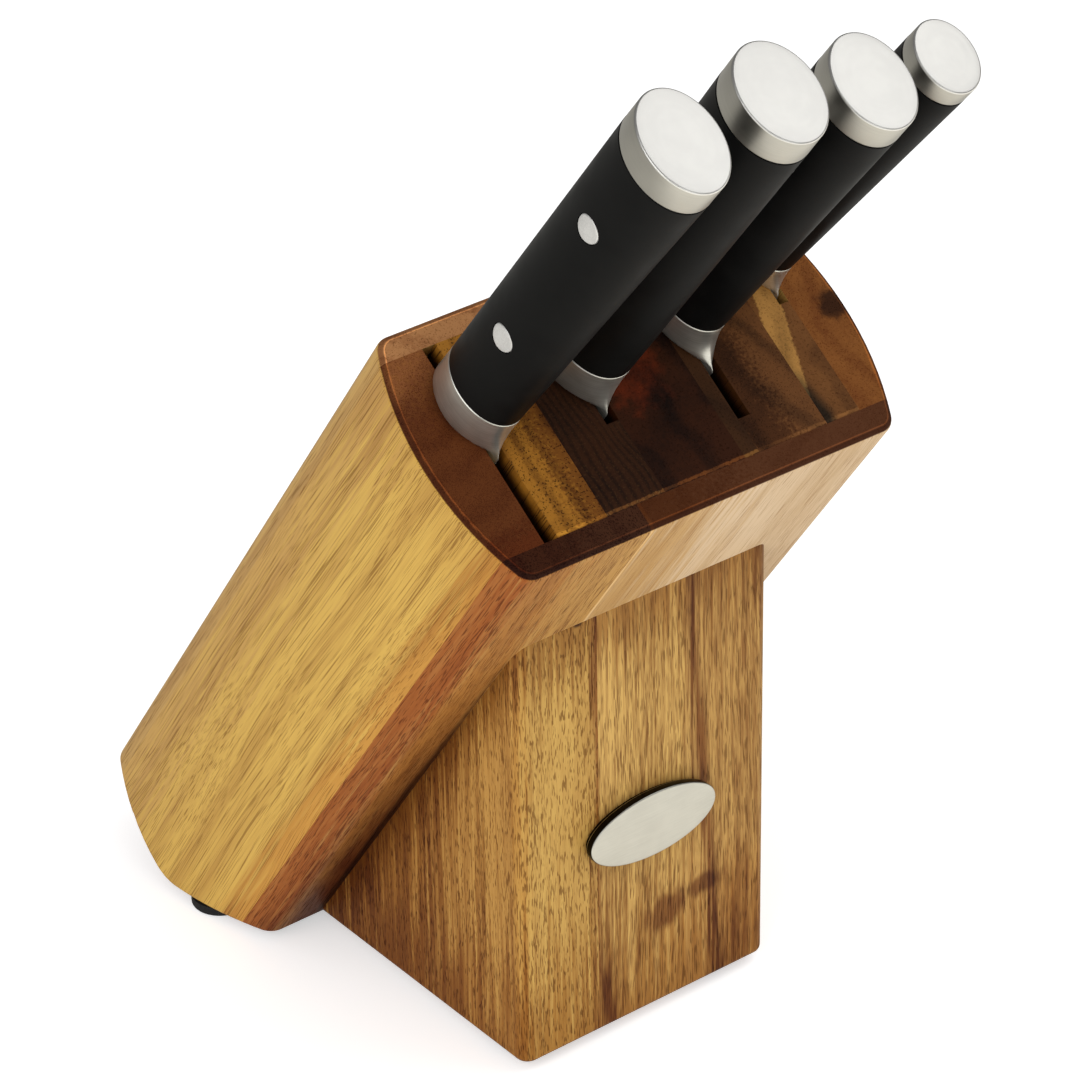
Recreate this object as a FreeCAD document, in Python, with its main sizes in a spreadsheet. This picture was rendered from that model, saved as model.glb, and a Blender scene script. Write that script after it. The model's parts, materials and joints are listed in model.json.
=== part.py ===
"""Knife block with four knives, as a parametric FreeCAD document.

The block is glued up from slats that lean forward on a wedge-shaped post.  Four slots in its
top end hold a chef's knife, a slicing knife, a santoku and a paring knife.

Frame: millimetres, +Z up, -Y towards the user, X = 0 in the middle of the block.  The origin is
the bottom centre of the whole object's box, at the level of the rubber feet's soles.
"""
import FreeCAD
import Part
import os
import re
import Sketcher
from math import sqrt

doc = FreeCAD.newDocument("knife_block")

# ---------------------------------------------------------------------------------------------
# Driving dimensions
# ---------------------------------------------------------------------------------------------
# The block has its own directions: "across" is X, "section" runs from its underside towards its
# back, and "depth" runs down its axis from the top end.  Slot and slat positions across the
# block are measured from its middle.
BLOCK_SIZES = {
    "lean": 35.0,
    "block_width": 120.0,
    "block_depth": 74.0,
    "block_length": 236.0,
    "side_bulge": 8.4,
    "edge_round": 2.0,
    "corner_round": 5.5,
    "heel_round": 16.0,
    "front_board": 7.8,
    "back_board": 7.0,
    "front_seam": -21.0,
    "golden_seam": -30.2,
    "red_seam": 14.7,
    "brown_seam": 42.0,
    "post_front": 41.0,
    "post_width": 85.0,
    "post_height": 133.3,
    "post_round": 4.0,
    "post_foot_round": 2.0,
    "post_left_seam": -16.3,
    "post_right_seam": 13.5,
    "top_reach": 50.2,
    "dowel_radius": 4.0,
    "dowel_across": 35.0,
    "dowel_in_block": 14.0,
    "dowel_in_post": 22.0,
    "dowel_from_top": 95.0,
    "foot_radius": 8.5,
    "foot_height": 3.0,
    "foot_round": 0.8,
    "foot_dish": 5.6,
    "block_foot_across": 58.5,
    "block_foot_back": 119.5,
    "post_foot_across": 31.0,
    "post_foot_back": 14.0,
    "screw_radius": 1.5,
    "screw_head_radius": 3.2,
    "screw_head_height": 1.6,
    "screw_length": 12.0,
    "badge_half_width": 21.4,
    "badge_half_height": 10.0,
    "badge_across": -0.3,
    "badge_up": 63.0,
    "badge_thickness": 2.7,
    "backing_thickness": 1.2,
    "backing_inset": 0.9,
    "badge_pin_radius": 1.2,
    "badge_pin_across": 10.0,
    "badge_pin_length": 8.0,
    "slot1_across": -48.1,
    "slot1_width": 4.3,
    "slot1_front": 7.8,
    "slot1_depth": 214.0,
    "slot2_across": -13.6,
    "slot2_width": 3.9,
    "slot2_front": 30.2,
    "slot2_depth": 186.0,
    "slot3_across": 21.3,
    "slot3_width": 4.0,
    "slot3_front": 18.2,
    "slot3_depth": 168.0,
    "slot4_across": 51.6,
    "slot4_width": 3.0,
    "slot4_front": 42.5,
    "slot4_depth": 96.0,
    "tang_thickness": 2.4,
    "tang_half_width": 6.0,
    "tang_in_cap": 4.0,
    "edge_thickness": 0.4,
    "collar_foot": 2.6,
    "collar_lip": 0.7,
    "collar_skirt": 6.0,
    "skirt_half_thickness": 1.3,
    "skirt_back": 2.5,
    "rivet_head_radius": 3.8,
    "rivet_shank_radius": 2.0,
    "rivet_head_depth": 4.5,
    "cap_round": 1.0,
}

# Each knife stands in its slot on its own axis, which crosses the block's top end "axis" mm from
# the underside and tilts "tilt" degrees more than the block.  Heights up the handle are measured
# from that crossing, and depths down the blade too.
KNIFE_SIZES = {
    "chef": {
        "slot": 1, "axis": 48.4, "tilt": 3.4,
        "collar_top": 14.1, "cap_bottom": 126.3, "cap_top": 136.0,
        "collar_half_x": 9.1, "collar_half_y": 12.7, "butt_half_x": 10.9, "butt_half_y": 14.3,
        "beak": 3.1, "spine": 9.0, "blade_height": 45.0, "blade_depth": 203.0,
        "spine_end": 148.0, "tip_below_spine": 24.0, "belly_start": 88.0, "heel_depth": 16.0,
        "lower_rivet": 44.0, "upper_rivet": 99.8,
    },
    "slicing": {
        "slot": 2, "axis": 49.8, "tilt": 2.1,
        "collar_top": 14.2, "cap_bottom": 121.5, "cap_top": 131.3,
        "collar_half_x": 10.6, "collar_half_y": 13.5, "butt_half_x": 11.3, "butt_half_y": 14.3,
        "beak": 3.7, "spine": 10.5, "blade_height": 28.0, "blade_depth": 178.0,
        "spine_end": 138.0, "tip_below_spine": 17.0, "belly_start": 120.0, "heel_depth": 13.0,
        "lower_rivet": 42.0, "upper_rivet": 95.5,
    },
    "santoku": {
        "slot": 3, "axis": 51.7, "tilt": 3.5,
        "collar_top": 11.5, "cap_bottom": 109.7, "cap_top": 118.8,
        "collar_half_x": 9.6, "collar_half_y": 12.3, "butt_half_x": 10.8, "butt_half_y": 13.7,
        "beak": 6.8, "spine": 8.2, "blade_height": 40.0, "blade_depth": 160.0,
        "spine_end": 104.0, "tip_below_spine": 31.0, "belly_start": 84.0, "heel_depth": 15.0,
        "lower_rivet": 37.0, "upper_rivet": 86.0,
    },
    "paring": {
        "slot": 4, "axis": 57.9, "tilt": 5.6,
        "collar_top": 9.6, "cap_bottom": 103.7, "cap_top": 110.3,
        "collar_half_x": 7.6, "collar_half_y": 9.5, "butt_half_x": 8.6, "butt_half_y": 10.5,
        "beak": 3.6, "spine": 3.8, "blade_height": 17.2, "blade_depth": 90.0,
        "spine_end": 30.0, "tip_below_spine": 10.2, "belly_start": 48.0, "heel_depth": 11.0,
        "lower_rivet": 34.0, "upper_rivet": 81.0,
    },
}

sheet = doc.addObject("Spreadsheet::Sheet", "Dimensions")
sizes = dict(BLOCK_SIZES)
for knife, values in KNIFE_SIZES.items():
    for word, value in values.items():
        sizes[knife + "_" + word] = value
for row, (alias, value) in enumerate(sizes.items(), start=1):
    sheet.set("A" + str(row), alias)
    sheet.set("B" + str(row), str(value))
    sheet.setAlias("B" + str(row), alias)
doc.recompute()

subparts = {}


# ---------------------------------------------------------------------------------------------
# Small tools
# ---------------------------------------------------------------------------------------------
def formula(text):
    """Write an expression in the sheet's own cells: every alias gets the sheet's name."""
    return re.sub(r"[a-z]\w*", lambda m: "Dimensions." + m[0] if m[0] in sizes else m[0], text)


def value_of(text):
    """The number that a formula comes to."""
    result = sheet.evalExpression(formula(text))
    return float(getattr(result, "Value", result))


def bind(item, prop, text):
    item.setExpression(prop, formula(str(text)))


# The top front corner of the block's underside, where every position on the block starts.
CORNER_Y = "(0 - post_front - top_reach * sin(lean))"
CORNER_Z = "(foot_height + post_height + top_reach * cos(lean))"


def turn_about_x(item, text):
    """Give an object a bound rotation about X."""
    start = FreeCAD.Rotation(FreeCAD.Vector(1, 0, 0), value_of(text))
    item.Placement = FreeCAD.Placement(FreeCAD.Vector(), start)
    bind(item, "Placement.Rotation.Angle", text)


def place(item, x, y, z):
    for name, text in (("x", x), ("y", y), ("z", z)):
        bind(item, "Placement.Base." + name, text)


def place_on_block(item, across="0", section="0", depth="0"):
    """Put an object's own origin at a point of the block and line it up with the block's axis."""
    turn_about_x(item, "lean")
    y = f"{CORNER_Y} + ({section}) * cos(lean) + ({depth}) * sin(lean)"
    z = f"{CORNER_Z} + ({section}) * sin(lean) - ({depth}) * cos(lean)"
    place(item, across, y, z)


def place_on_knife(item, knife, x="0", y="0", z="0", across=False):
    """Put an object's own origin at a point of a knife and line its Z up with the knife's axis,
    or with X where it lies across the knife."""
    angle = f"(lean + {knife}_tilt)"
    if across:
        item.Placement = FreeCAD.Placement(FreeCAD.Vector(), FreeCAD.Rotation(FreeCAD.Vector(0, 1, 0), 90))
    else:
        turn_about_x(item, angle)
    slot = f"slot{KNIFE_SIZES[knife]['slot']}_across"
    foot_y = f"{CORNER_Y} + {knife}_axis * cos(lean)"
    foot_z = f"{CORNER_Z} + {knife}_axis * sin(lean)"
    place(item, f"{slot} + ({x})",
          f"{foot_y} + ({y}) * cos{angle} - ({z}) * sin{angle}",
          f"{foot_z} + ({y}) * sin{angle} + ({z}) * cos{angle}")


def box(name, length, width, height):
    item = doc.addObject("Part::Box", name)
    for prop, text in (("Length", length), ("Width", width), ("Height", height)):
        bind(item, prop, text)
    return item


def cylinder(name, radius, height):
    item = doc.addObject("Part::Cylinder", name)
    bind(item, "Radius", radius)
    bind(item, "Height", height)
    return item


def block_box(name, left, right, front, back, top, bottom):
    """A box in the block's own directions, between two planes each way."""
    item = box(name, f"({right}) - ({left})", f"({back}) - ({front})", f"({bottom}) - ({top})")
    place_on_block(item, left, front, bottom)
    return item


def cut(name, base, tools):
    """Cut tools from a base, one joined tool at a time."""
    item = doc.addObject("Part::Cut", name)
    item.Base = base
    item.Tool = tools[0] if len(tools) == 1 else join(name + "_tools", tools)
    return item


def join(name, shapes):
    item = doc.addObject("Part::MultiFuse", name)
    item.Shapes = shapes
    return item


def common(name, shapes):
    item = doc.addObject("Part::MultiCommon", name)
    item.Shapes = shapes
    return item


def fillet(name, base, radius_of):
    """Round a base's edges.  radius_of gives an edge's radius as a formula, or None to leave it."""
    doc.recompute()
    item = doc.addObject("Part::Fillet", name)
    item.Base = base
    rounded = []
    for number, edge in enumerate(base.Shape.Edges, start=1):
        radius = radius_of(edge)
        if radius is not None:
            rounded.append((number, value_of(radius), value_of(radius)))
    item.Edges = rounded
    return item


def subpart(name, item):
    """Name a finished sub-part: its label is also its file's name."""
    item.Label = name
    subparts[name] = item
    return item


def body_plane(body, role):
    return next(plane for plane in body.Origin.OriginFeatures if plane.Role == role)


def sketch_on(body, name, role, offset="0"):
    """A sketch on one of the body's own planes, lifted off it by a bound distance."""
    sketch = body.newObject("Sketcher::SketchObject", name)
    sketch.AttachmentSupport = [(body_plane(body, role), "")]
    sketch.MapMode = "FlatFace"
    if offset != "0":
        bind(sketch, "AttachmentOffset.Base.z", offset)
    return sketch


def constrain(sketch, kind, *where, text):
    """Add a dimension to a sketch and bind it to a formula."""
    index = sketch.addConstraint(Sketcher.Constraint(kind, *where, value_of(text)))
    bind(sketch, f"Constraints[{index}]", text)


def ellipse(sketch, half_x, half_y, middle_y="0"):
    """An ellipse with both half sizes bound, and its middle on the sketch's Y axis."""
    centre = FreeCAD.Vector(0, value_of(middle_y), 0)
    along_x = FreeCAD.Vector(value_of(half_x), 0, 0)
    along_y = FreeCAD.Vector(0, value_of(half_y), 0)
    wide = along_x.Length > along_y.Length
    ends = (along_x, along_y) if wide else (along_y, along_x)
    curve = sketch.addGeometry(Part.Ellipse(centre + ends[0], centre + ends[1], centre), False)
    sketch.exposeInternalGeometry(curve)
    long_axis = curve + 1
    short_axis = curve + 2
    sketch.addConstraint(Sketcher.Constraint("PointOnObject", curve, 3, -2))
    sketch.addConstraint(Sketcher.Constraint("Horizontal" if wide else "Vertical", long_axis))
    constrain(sketch, "DistanceY", -1, 1, curve, 3, text=middle_y)
    constrain(sketch, "Distance", long_axis if wide else short_axis, text=f"2 * ({half_x})")
    constrain(sketch, "Distance", short_axis if wide else long_axis, text=f"2 * ({half_y})")


def outline(sketch, corners):
    """A closed outline.  Each corner is (x, y, radius): the edge that leaves it is straight where
    radius is None.  Otherwise it is an arc of that radius, bulging to the right of the way along
    the outline, or to the left where the radius has a minus sign."""
    points = [FreeCAD.Vector(value_of(x), value_of(y), 0) for x, y, _ in corners]
    for index, (x, y, radius) in enumerate(corners):
        start = points[index]
        end = points[(index + 1) % len(points)]
        if radius is None:
            sketch.addGeometry(Part.LineSegment(start, end), False)
            continue
        size = value_of(radius)
        half = (end - start) * 0.5
        outward = FreeCAD.Vector(half.y, -half.x, 0).normalize() * (1 if size > 0 else -1)
        rise = abs(size) - sqrt(size ** 2 - half.Length ** 2)
        sketch.addGeometry(Part.Arc(start, start + half + outward * rise, end), False)
    for index, (x, y, radius) in enumerate(corners):
        first, last = edge_ends(sketch, index)
        following = (index + 1) % len(points)
        next_first = edge_ends(sketch, following)[0]
        sketch.addConstraint(Sketcher.Constraint("Coincident", index, last, following, next_first))
        constrain(sketch, "DistanceX", -1, 1, index, first, text=x)
        constrain(sketch, "DistanceY", -1, 1, index, first, text=y)
        if radius is not None:
            constrain(sketch, "Radius", index, text=f"abs({radius})")


def edge_ends(sketch, index):
    """Which of an edge's two end numbers comes first along the outline: a Part.Arc that turns
    clockwise is stored the other way round."""
    edge = sketch.Geometry[index]
    clockwise = isinstance(edge, Part.ArcOfCircle) and edge.Axis.z < 0
    return (2, 1) if clockwise else (1, 2)


def new_body(name):
    return doc.addObject("PartDesign::Body", name)


def pad(body, name, sketch, length, midplane=False, backwards=False):
    item = body.newObject("PartDesign::Pad", name)
    item.Profile = sketch
    bind(item, "Length", length)
    item.Midplane = midplane
    item.Reversed = backwards
    return item


def loft(body, name, sketches):
    """A straight-sided loft through a row of sketches."""
    item = body.newObject("PartDesign::AdditiveLoft", name)
    item.Profile = sketches[0]
    item.Sections = sketches[1:]
    item.Ruled = True
    return item


# ---------------------------------------------------------------------------------------------
# Block: one bulged and rounded outer form, sawn into the slats it is glued up from
# ---------------------------------------------------------------------------------------------
def block_form():
    """The whole block's outside: a box whose two sides bulge as arcs, with its foot cut level
    where it stands on the table."""
    half_width = "block_width / 2"
    reach = "(block_width / 2 + side_bulge)"
    arc = "((block_depth * block_depth / 4 + side_bulge * side_bulge) / (2 * side_bulge))"
    stock = block_box("block_stock", f"0 - {reach}", reach, "0", "block_depth", "0", "block_length")
    sides = []
    for name, sign in (("left", "-1"), ("right", "1")):
        side = cylinder("block_side_" + name, arc, "block_length")
        place_on_block(side, f"{sign} * ({reach} - {arc})", "block_depth / 2", "block_length")
        sides.append(side)
    bulged = common("block_bulged", [stock] + sides)
    ground = box("block_ground", "2 * block_width", "2 * block_depth", "block_depth")
    place(ground, "0 - block_width", "post_height * tan(lean) - post_front - block_depth / 4",
          "foot_height - block_depth")
    level = cut("block_level", bulged, [ground])
    behind_feet = value_of(f"{CORNER_Y} + block_length * sin(lean)")
    low = value_of("foot_height + block_depth / 8")

    def at_heel(edge):
        """The level edges behind the rear feet, where the level foot meets the square end."""
        room = edge.BoundBox
        return room.YLength < 0.01 and room.XLength > 50 and room.ZMax < low and room.YMin > behind_feet

    def other_radius(edge):
        if at_heel(edge) or edge.Length < 20:
            return None
        runs_down_block = edge.BoundBox.XLength < 0.01 and edge.BoundBox.ZLength > 50
        return "corner_round" if runs_down_block else "edge_round"

    heeled = fillet("block_heeled", level, lambda edge: "heel_round" if at_heel(edge) else None)
    return fillet("block_form", heeled, other_radius)


def slot_box(number):
    """The room that a slot takes, from the block's top end down to the slot's floor."""
    slot = f"slot{number}"
    left = f"{slot}_across - {slot}_width / 2"
    right = f"{slot}_across + {slot}_width / 2"
    return block_box(f"{slot}_room", left, right, slot + "_front", "block_depth - back_board",
                     "0 - edge_round", slot + "_depth")


def block_pieces(form):
    """Every slat and board, as (name, left, right, front, back)."""
    outer = "block_width"
    front = "front_board"
    back = "block_depth - back_board"
    left_wall = "slot1_across - slot1_width / 2"
    right_wall = "slot1_across + slot1_width / 2"
    slats = [
        ("left_cheek", f"0 - {outer}", left_wall, front, back),
        ("slot_spacer", left_wall, right_wall, front, back),
        ("golden_slat", right_wall, "golden_seam", front, back),
        ("dark_slat", "golden_seam", "slot2_across + slot2_width / 2", front, back),
        ("red_slat", "slot2_across + slot2_width / 2", "red_seam", front, back),
        ("closing_strip", "red_seam", "slot3_across - slot3_width / 2", front, back),
        ("brown_slat", "slot3_across - slot3_width / 2", "brown_seam", front, back),
        ("sapwood_slat", "brown_seam", "slot4_across + slot4_width / 2", front, back),
        ("right_cheek", "slot4_across + slot4_width / 2", outer, front, back),
        ("front_board_left", f"0 - {outer}", "front_seam", "0", front),
        ("front_board_right", "front_seam", outer, "0", front),
        ("back_board", f"0 - {outer}", outer, back, "block_depth"),
    ]
    pieces = {}
    for name, left, right, near, far in slats:
        strip = block_box(name + "_strip", left, right, near, far, "0 - edge_round", "block_length")
        pieces[name] = common(name + "_sawn", [form, strip])
    return pieces


# ---------------------------------------------------------------------------------------------
# Post: one solid wedge under the block, sawn into the three staves it is glued up from
# ---------------------------------------------------------------------------------------------
def post_form():
    """The whole post's outside: a triangle seen from the side, upright at the front, level at the
    foot and sloping with the block.  Its front corners and the edges round its foot are rounded."""
    body = new_body("post_wedge")
    sketch = sketch_on(body, "post_side", "YZ_Plane")
    outline(sketch, [("0", "0", None), ("post_height * tan(lean)", "0", None),
                     ("0", "post_height", None)])
    pad(body, "post_across", sketch, "post_width")
    place(body, "0 - post_width / 2", "0 - post_front", "foot_height")
    front = value_of("0 - post_front")
    foot = value_of("foot_height")

    def upright(edge):
        room = edge.BoundBox
        return "post_round" if room.YLength < 0.01 and room.ZLength > 50 else None

    def at_foot(edge):
        room = edge.BoundBox
        return "post_foot_round" if room.ZMax < foot + 0.01 and room.YMin < front + 0.1 else None

    cornered = fillet("post_cornered", body, upright)
    return fillet("post_form", cornered, at_foot)


def post_pieces(form):
    half = "post_width / 2"
    staves = [
        ("post_stave_left", f"0 - {half}", "post_left_seam"),
        ("post_stave_middle", "post_left_seam", "post_right_seam"),
        ("post_stave_right", "post_right_seam", half),
    ]
    pieces = {}
    for name, left, right in staves:
        strip = box(name + "_strip", f"({right}) - ({left})", "post_height", "post_height")
        place(strip, left, "0 - post_front", "foot_height")
        pieces[name] = common(name + "_sawn", [form, strip])
    return pieces


def dowels():
    """Two beech dowels that pin the post to the block, square to the sloping joint."""
    pins = []
    for name, sign in (("left", "-1"), ("right", "1")):
        pin = cylinder("dowel_" + name, "dowel_radius", "dowel_in_block + dowel_in_post")
        turn_about_x(pin, "lean - 90")
        y = f"{CORNER_Y} + dowel_from_top * sin(lean) - dowel_in_post * cos(lean)"
        z = f"{CORNER_Z} - dowel_from_top * cos(lean) - dowel_in_post * sin(lean)"
        place(pin, f"{sign} * dowel_across", y, z)
        pins.append(pin)
    return join("dowel_pair", pins)


# ---------------------------------------------------------------------------------------------
# Feet and badge
# ---------------------------------------------------------------------------------------------
FEET = {
    "block_left": ("0 - block_foot_across", "block_foot_back - post_front"),
    "block_right": ("block_foot_across", "block_foot_back - post_front"),
    "post_left": ("0 - post_foot_across", "post_foot_back - post_front"),
    "post_right": ("post_foot_across", "post_foot_back - post_front"),
}


def foot(name, x, y):
    """A turned rubber foot with a dished sole that hides its screw's head."""
    body = new_body(name)
    sketch = sketch_on(body, name + "_half", "XZ_Plane")
    outline(sketch, [
        ("screw_radius", "foot_height", None),
        ("screw_radius", "screw_head_height + 0.4", None),
        ("screw_head_radius + 0.2", "screw_head_height + 0.4", None),
        ("screw_head_radius + 0.2", "0.4", None),
        ("foot_dish", "0", None),
        ("foot_radius - foot_round", "0", "foot_round"),
        ("foot_radius", "foot_round", None),
        ("foot_radius", "foot_height", None),
    ])
    turned = body.newObject("PartDesign::Revolution", name + "_turned")
    turned.Profile = sketch
    turned.ReferenceAxis = (sketch, ["V_Axis"])
    turned.Angle = 360
    place(body, x, y, "0")
    return body


def screw(name, x, y):
    """A small pan-head wood screw, head down in its foot."""
    head = cylinder(name + "_head", "screw_head_radius", "screw_head_height")
    place(head, x, y, "0.4")
    shank = cylinder(name + "_shank", "screw_radius", "screw_length")
    place(shank, x, y, "0.4")
    return join(name, [head, shank])


def oval(name, half_width, half_height, thickness, y):
    """A flat oval plate that lies on the front of the post."""
    body = new_body(name)
    sketch = sketch_on(body, name + "_outline", "XZ_Plane")
    ellipse(sketch, half_width, half_height)
    pad(body, name + "_thickness", sketch, thickness)
    place(body, "badge_across", y, "foot_height + badge_up")
    return body


def badge():
    """An oval steel badge on a smaller dark backing plate, with two pins into the post."""
    back_y = "0 - post_front"
    backing = oval("backing_plate", "badge_half_width - backing_inset",
                   "badge_half_height - backing_inset", "backing_thickness", back_y)
    front_y = "0 - post_front - backing_thickness"
    plate = oval("badge_plate_oval", "badge_half_width", "badge_half_height", "badge_thickness", front_y)
    pins = []
    for name, sign in (("left", "-1"), ("right", "1")):
        pin = cylinder("badge_pin_" + name, "badge_pin_radius", "badge_pin_length + backing_thickness")
        turn_about_x(pin, "0 - 90")
        place(pin, f"badge_across + {sign} * badge_pin_across", front_y, "foot_height + badge_up")
        pins.append(pin)
    return backing, plate, join("badge_pin_pair", pins)


# ---------------------------------------------------------------------------------------------
# Knives: each is a blade with its tang, a steel collar, a moulded handle, two rivets and a cap
# ---------------------------------------------------------------------------------------------
def knife_loft(knife, name, rings):
    """A body lofted along a knife's axis through ovals given as (height, half x, half y, middle)."""
    body = new_body(f"{knife}_{name}")
    sketches = []
    for number, (height, half_x, half_y, middle_y) in enumerate(rings):
        sketch = sketch_on(body, f"{knife}_{name}_ring{number}", "XY_Plane", height)
        ellipse(sketch, half_x, half_y, middle_y)
        sketches.append(sketch)
    loft(body, f"{knife}_{name}_loft", sketches)
    place_on_knife(body, knife)
    return body


def knife_box(knife, name, half_x, front, back, low, high):
    item = box(f"{knife}_{name}", f"2 * ({half_x})", f"({back}) - ({front})", f"({high}) - ({low})")
    place_on_knife(item, knife, f"0 - ({half_x})", front, low)
    return item


def blade(knife):
    """The blade's outline hangs below the collar, ground to a wedge from spine to edge; a flat
    tang runs up through the handle into the cap."""
    k = knife + "_"
    edge = f"({k}spine - {k}blade_height)"
    tip_y = f"({k}spine - {k}tip_below_spine)"
    heel = f"(0 - {k}heel_depth)"
    spine_end = f"(0 - {k}spine_end)"
    tip = f"(0 - {k}blade_depth)"
    belly = f"(0 - {k}belly_start)"
    drop = f"{k}tip_below_spine"
    spine_run = f"({k}blade_depth - {k}spine_end)"
    rise = f"({k}blade_height - {k}tip_below_spine)"
    belly_run = f"({k}blade_depth - {k}belly_start)"
    spine_arc = f"(({spine_run}) * ({spine_run}) + {drop} * {drop}) / (2 * {drop})"
    belly_arc = f"(({belly_run}) * ({belly_run}) + {rise} * {rise}) / (2 * {rise})"
    body = new_body(k + "blade_body")
    sketch = sketch_on(body, k + "blade_outline", "YZ_Plane")
    outline(sketch, [
        (f"{k}spine - skirt_back", "0 - collar_skirt", None),
        (f"0 - {k}collar_half_y - {k}beak", "0 - collar_skirt", None),
        (edge, heel, None),
        (edge, belly, belly_arc),
        (tip_y, tip, spine_arc),
        (f"{k}spine", spine_end, None),
        (f"{k}spine", "0 - collar_skirt - skirt_back", None),
    ])
    pad(body, k + "blade_pad", sketch, "tang_thickness", midplane=True)
    place_on_knife(body, knife)
    ground = doc.addObject("Part::Wedge", k + "blade_grind")
    thin = "edge_thickness / 2"
    thick = "tang_thickness / 2"
    for prop, text in (
        ("Xmin", f"0 - {thin}"), ("Xmax", thin), ("X2min", f"0 - {thick}"), ("X2max", thick),
        ("Ymin", edge), ("Ymax", f"{k}spine"),
        ("Zmin", tip), ("Zmax", "0"), ("Z2min", tip), ("Z2max", "0"),
    ):
        bind(ground, prop, text)
    place_on_knife(ground, knife)
    tang = knife_box(knife, "tang", "tang_thickness / 2", "0 - tang_half_width", "tang_half_width",
                     "0 - collar_skirt", f"{k}cap_bottom + tang_in_cap")
    return join(k + "blade_and_tang", [common(k + "blade_ground", [body, ground]), tang])


def rivet_tools(knife):
    """Both rivets of a knife, longer than the handle is wide: wide heads and a thinner shank."""
    k = knife + "_"
    reach = f"({k}butt_half_x + 1)"
    parts = []
    for rivet in ("lower_rivet", "upper_rivet"):
        up = f"({k}{rivet} - {k}collar_top) / ({k}cap_bottom - {k}collar_top)"
        half_x = f"({k}collar_half_x + ({k}butt_half_x - {k}collar_half_x) * {up})"
        for part, radius, left, right in (
            ("shank", "rivet_shank_radius", f"0 - {reach}", reach),
            ("left_head", "rivet_head_radius", f"0 - {reach}", f"rivet_head_depth - {half_x}"),
            ("right_head", "rivet_head_radius", f"{half_x} - rivet_head_depth", reach),
        ):
            pin = cylinder(f"{k}{rivet}_{part}", radius, f"({right}) - ({left})")
            place_on_knife(pin, knife, left, "0", f"{k}{rivet}", across=True)
            parts.append(pin)
    return join(k + "rivet_tools", parts)


def add_knife(knife):
    k = knife + "_"
    tang_room = knife_box(knife, "tang_room", "tang_thickness / 2", "0 - tang_half_width",
                          "tang_half_width", "0 - collar_skirt", f"{k}cap_bottom + tang_in_cap")
    rivets = rivet_tools(knife)
    skirt_half_y = f"(({k}spine - skirt_back + {k}collar_half_y + {k}beak) / 2)"
    skirt_middle = f"(({k}spine - skirt_back - {k}collar_half_y - {k}beak) / 2)"
    collar = knife_loft(knife, "collar_form", [
        (f"0 - collar_skirt", "skirt_half_thickness", skirt_half_y, skirt_middle),
        ("collar_lip", "skirt_half_thickness", skirt_half_y, skirt_middle),
        ("collar_foot", f"{k}collar_half_x * 0.94", f"{k}collar_half_y", f"0 - {k}beak * 0.2"),
        (f"{k}collar_top", f"{k}collar_half_x", f"{k}collar_half_y", "0"),
    ])
    grip = knife_loft(knife, "grip_form", [
        (f"{k}collar_top", f"{k}collar_half_x", f"{k}collar_half_y", "0"),
        (f"{k}cap_bottom", f"{k}butt_half_x", f"{k}butt_half_y", "0"),
    ])
    cap = new_body(k + "cap_form")
    cap_oval = sketch_on(cap, k + "cap_oval", "XY_Plane", f"{k}cap_bottom")
    ellipse(cap_oval, f"{k}butt_half_x", f"{k}butt_half_y")
    pad(cap, k + "cap_pad", cap_oval, f"{k}cap_top - {k}cap_bottom")
    place_on_knife(cap, knife)
    doc.recompute()
    top = value_of(f"{CORNER_Z} + {k}axis * sin(lean) + {k}cap_top * cos(lean + {k}tilt)")
    rounded = fillet(k + "cap_rounded", cap,
                     lambda edge: "cap_round" if abs(edge.BoundBox.Center.z - top) < 0.01 else None)
    subpart(k + "blade", cut(k + "blade_drilled", blade(knife), [rivets]))
    subpart(k + "bolster", cut(k + "collar_slotted", collar, [tang_room]))
    subpart(k + "handle", cut(k + "grip_cored", grip, [tang_room, rivets]))
    subpart(k + "rivets", common(k + "rivets_flush", [rivets, grip]))
    subpart(k + "end_cap", cut(k + "cap_slotted", rounded, [tang_room]))


# ---------------------------------------------------------------------------------------------
# Assembly
# ---------------------------------------------------------------------------------------------
def assemble():
    wood = block_pieces(block_form())
    wood.update(post_pieces(post_form()))
    pegs = dowels()
    screws = {name: screw("screw_" + name, x, y) for name, (x, y) in FEET.items()}
    backing, plate, badge_pins = badge()
    rooms = {number: slot_box(number) for number in (1, 2, 3, 4)}
    cuts = {
        "slot_spacer": [rooms[1]],
        "golden_slat": [pegs],
        "dark_slat": [rooms[2]],
        "brown_slat": [rooms[3], pegs],
        "sapwood_slat": [rooms[4]],
        "front_board_left": [pegs],
        "front_board_right": [pegs],
        "left_cheek": [screws["block_left"]],
        "right_cheek": [screws["block_right"]],
        "post_stave_left": [pegs, screws["post_left"]],
        "post_stave_middle": [badge_pins],
        "post_stave_right": [pegs, screws["post_right"]],
    }
    for name, piece in wood.items():
        subpart(name, cut(name + "_worked", piece, cuts[name]) if name in cuts else piece)
    subpart("dowels", pegs)
    subpart("feet", join("feet_group", [foot("foot_" + name, x, y) for name, (x, y) in FEET.items()]))
    subpart("foot_screws", join("screw_group", list(screws.values())))
    subpart("badge_backing", cut("backing_drilled", backing, [badge_pins]))
    subpart("badge_plate", plate)
    subpart("badge_pins", badge_pins)
    for knife in KNIFE_SIZES:
        add_knife(knife)


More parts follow.
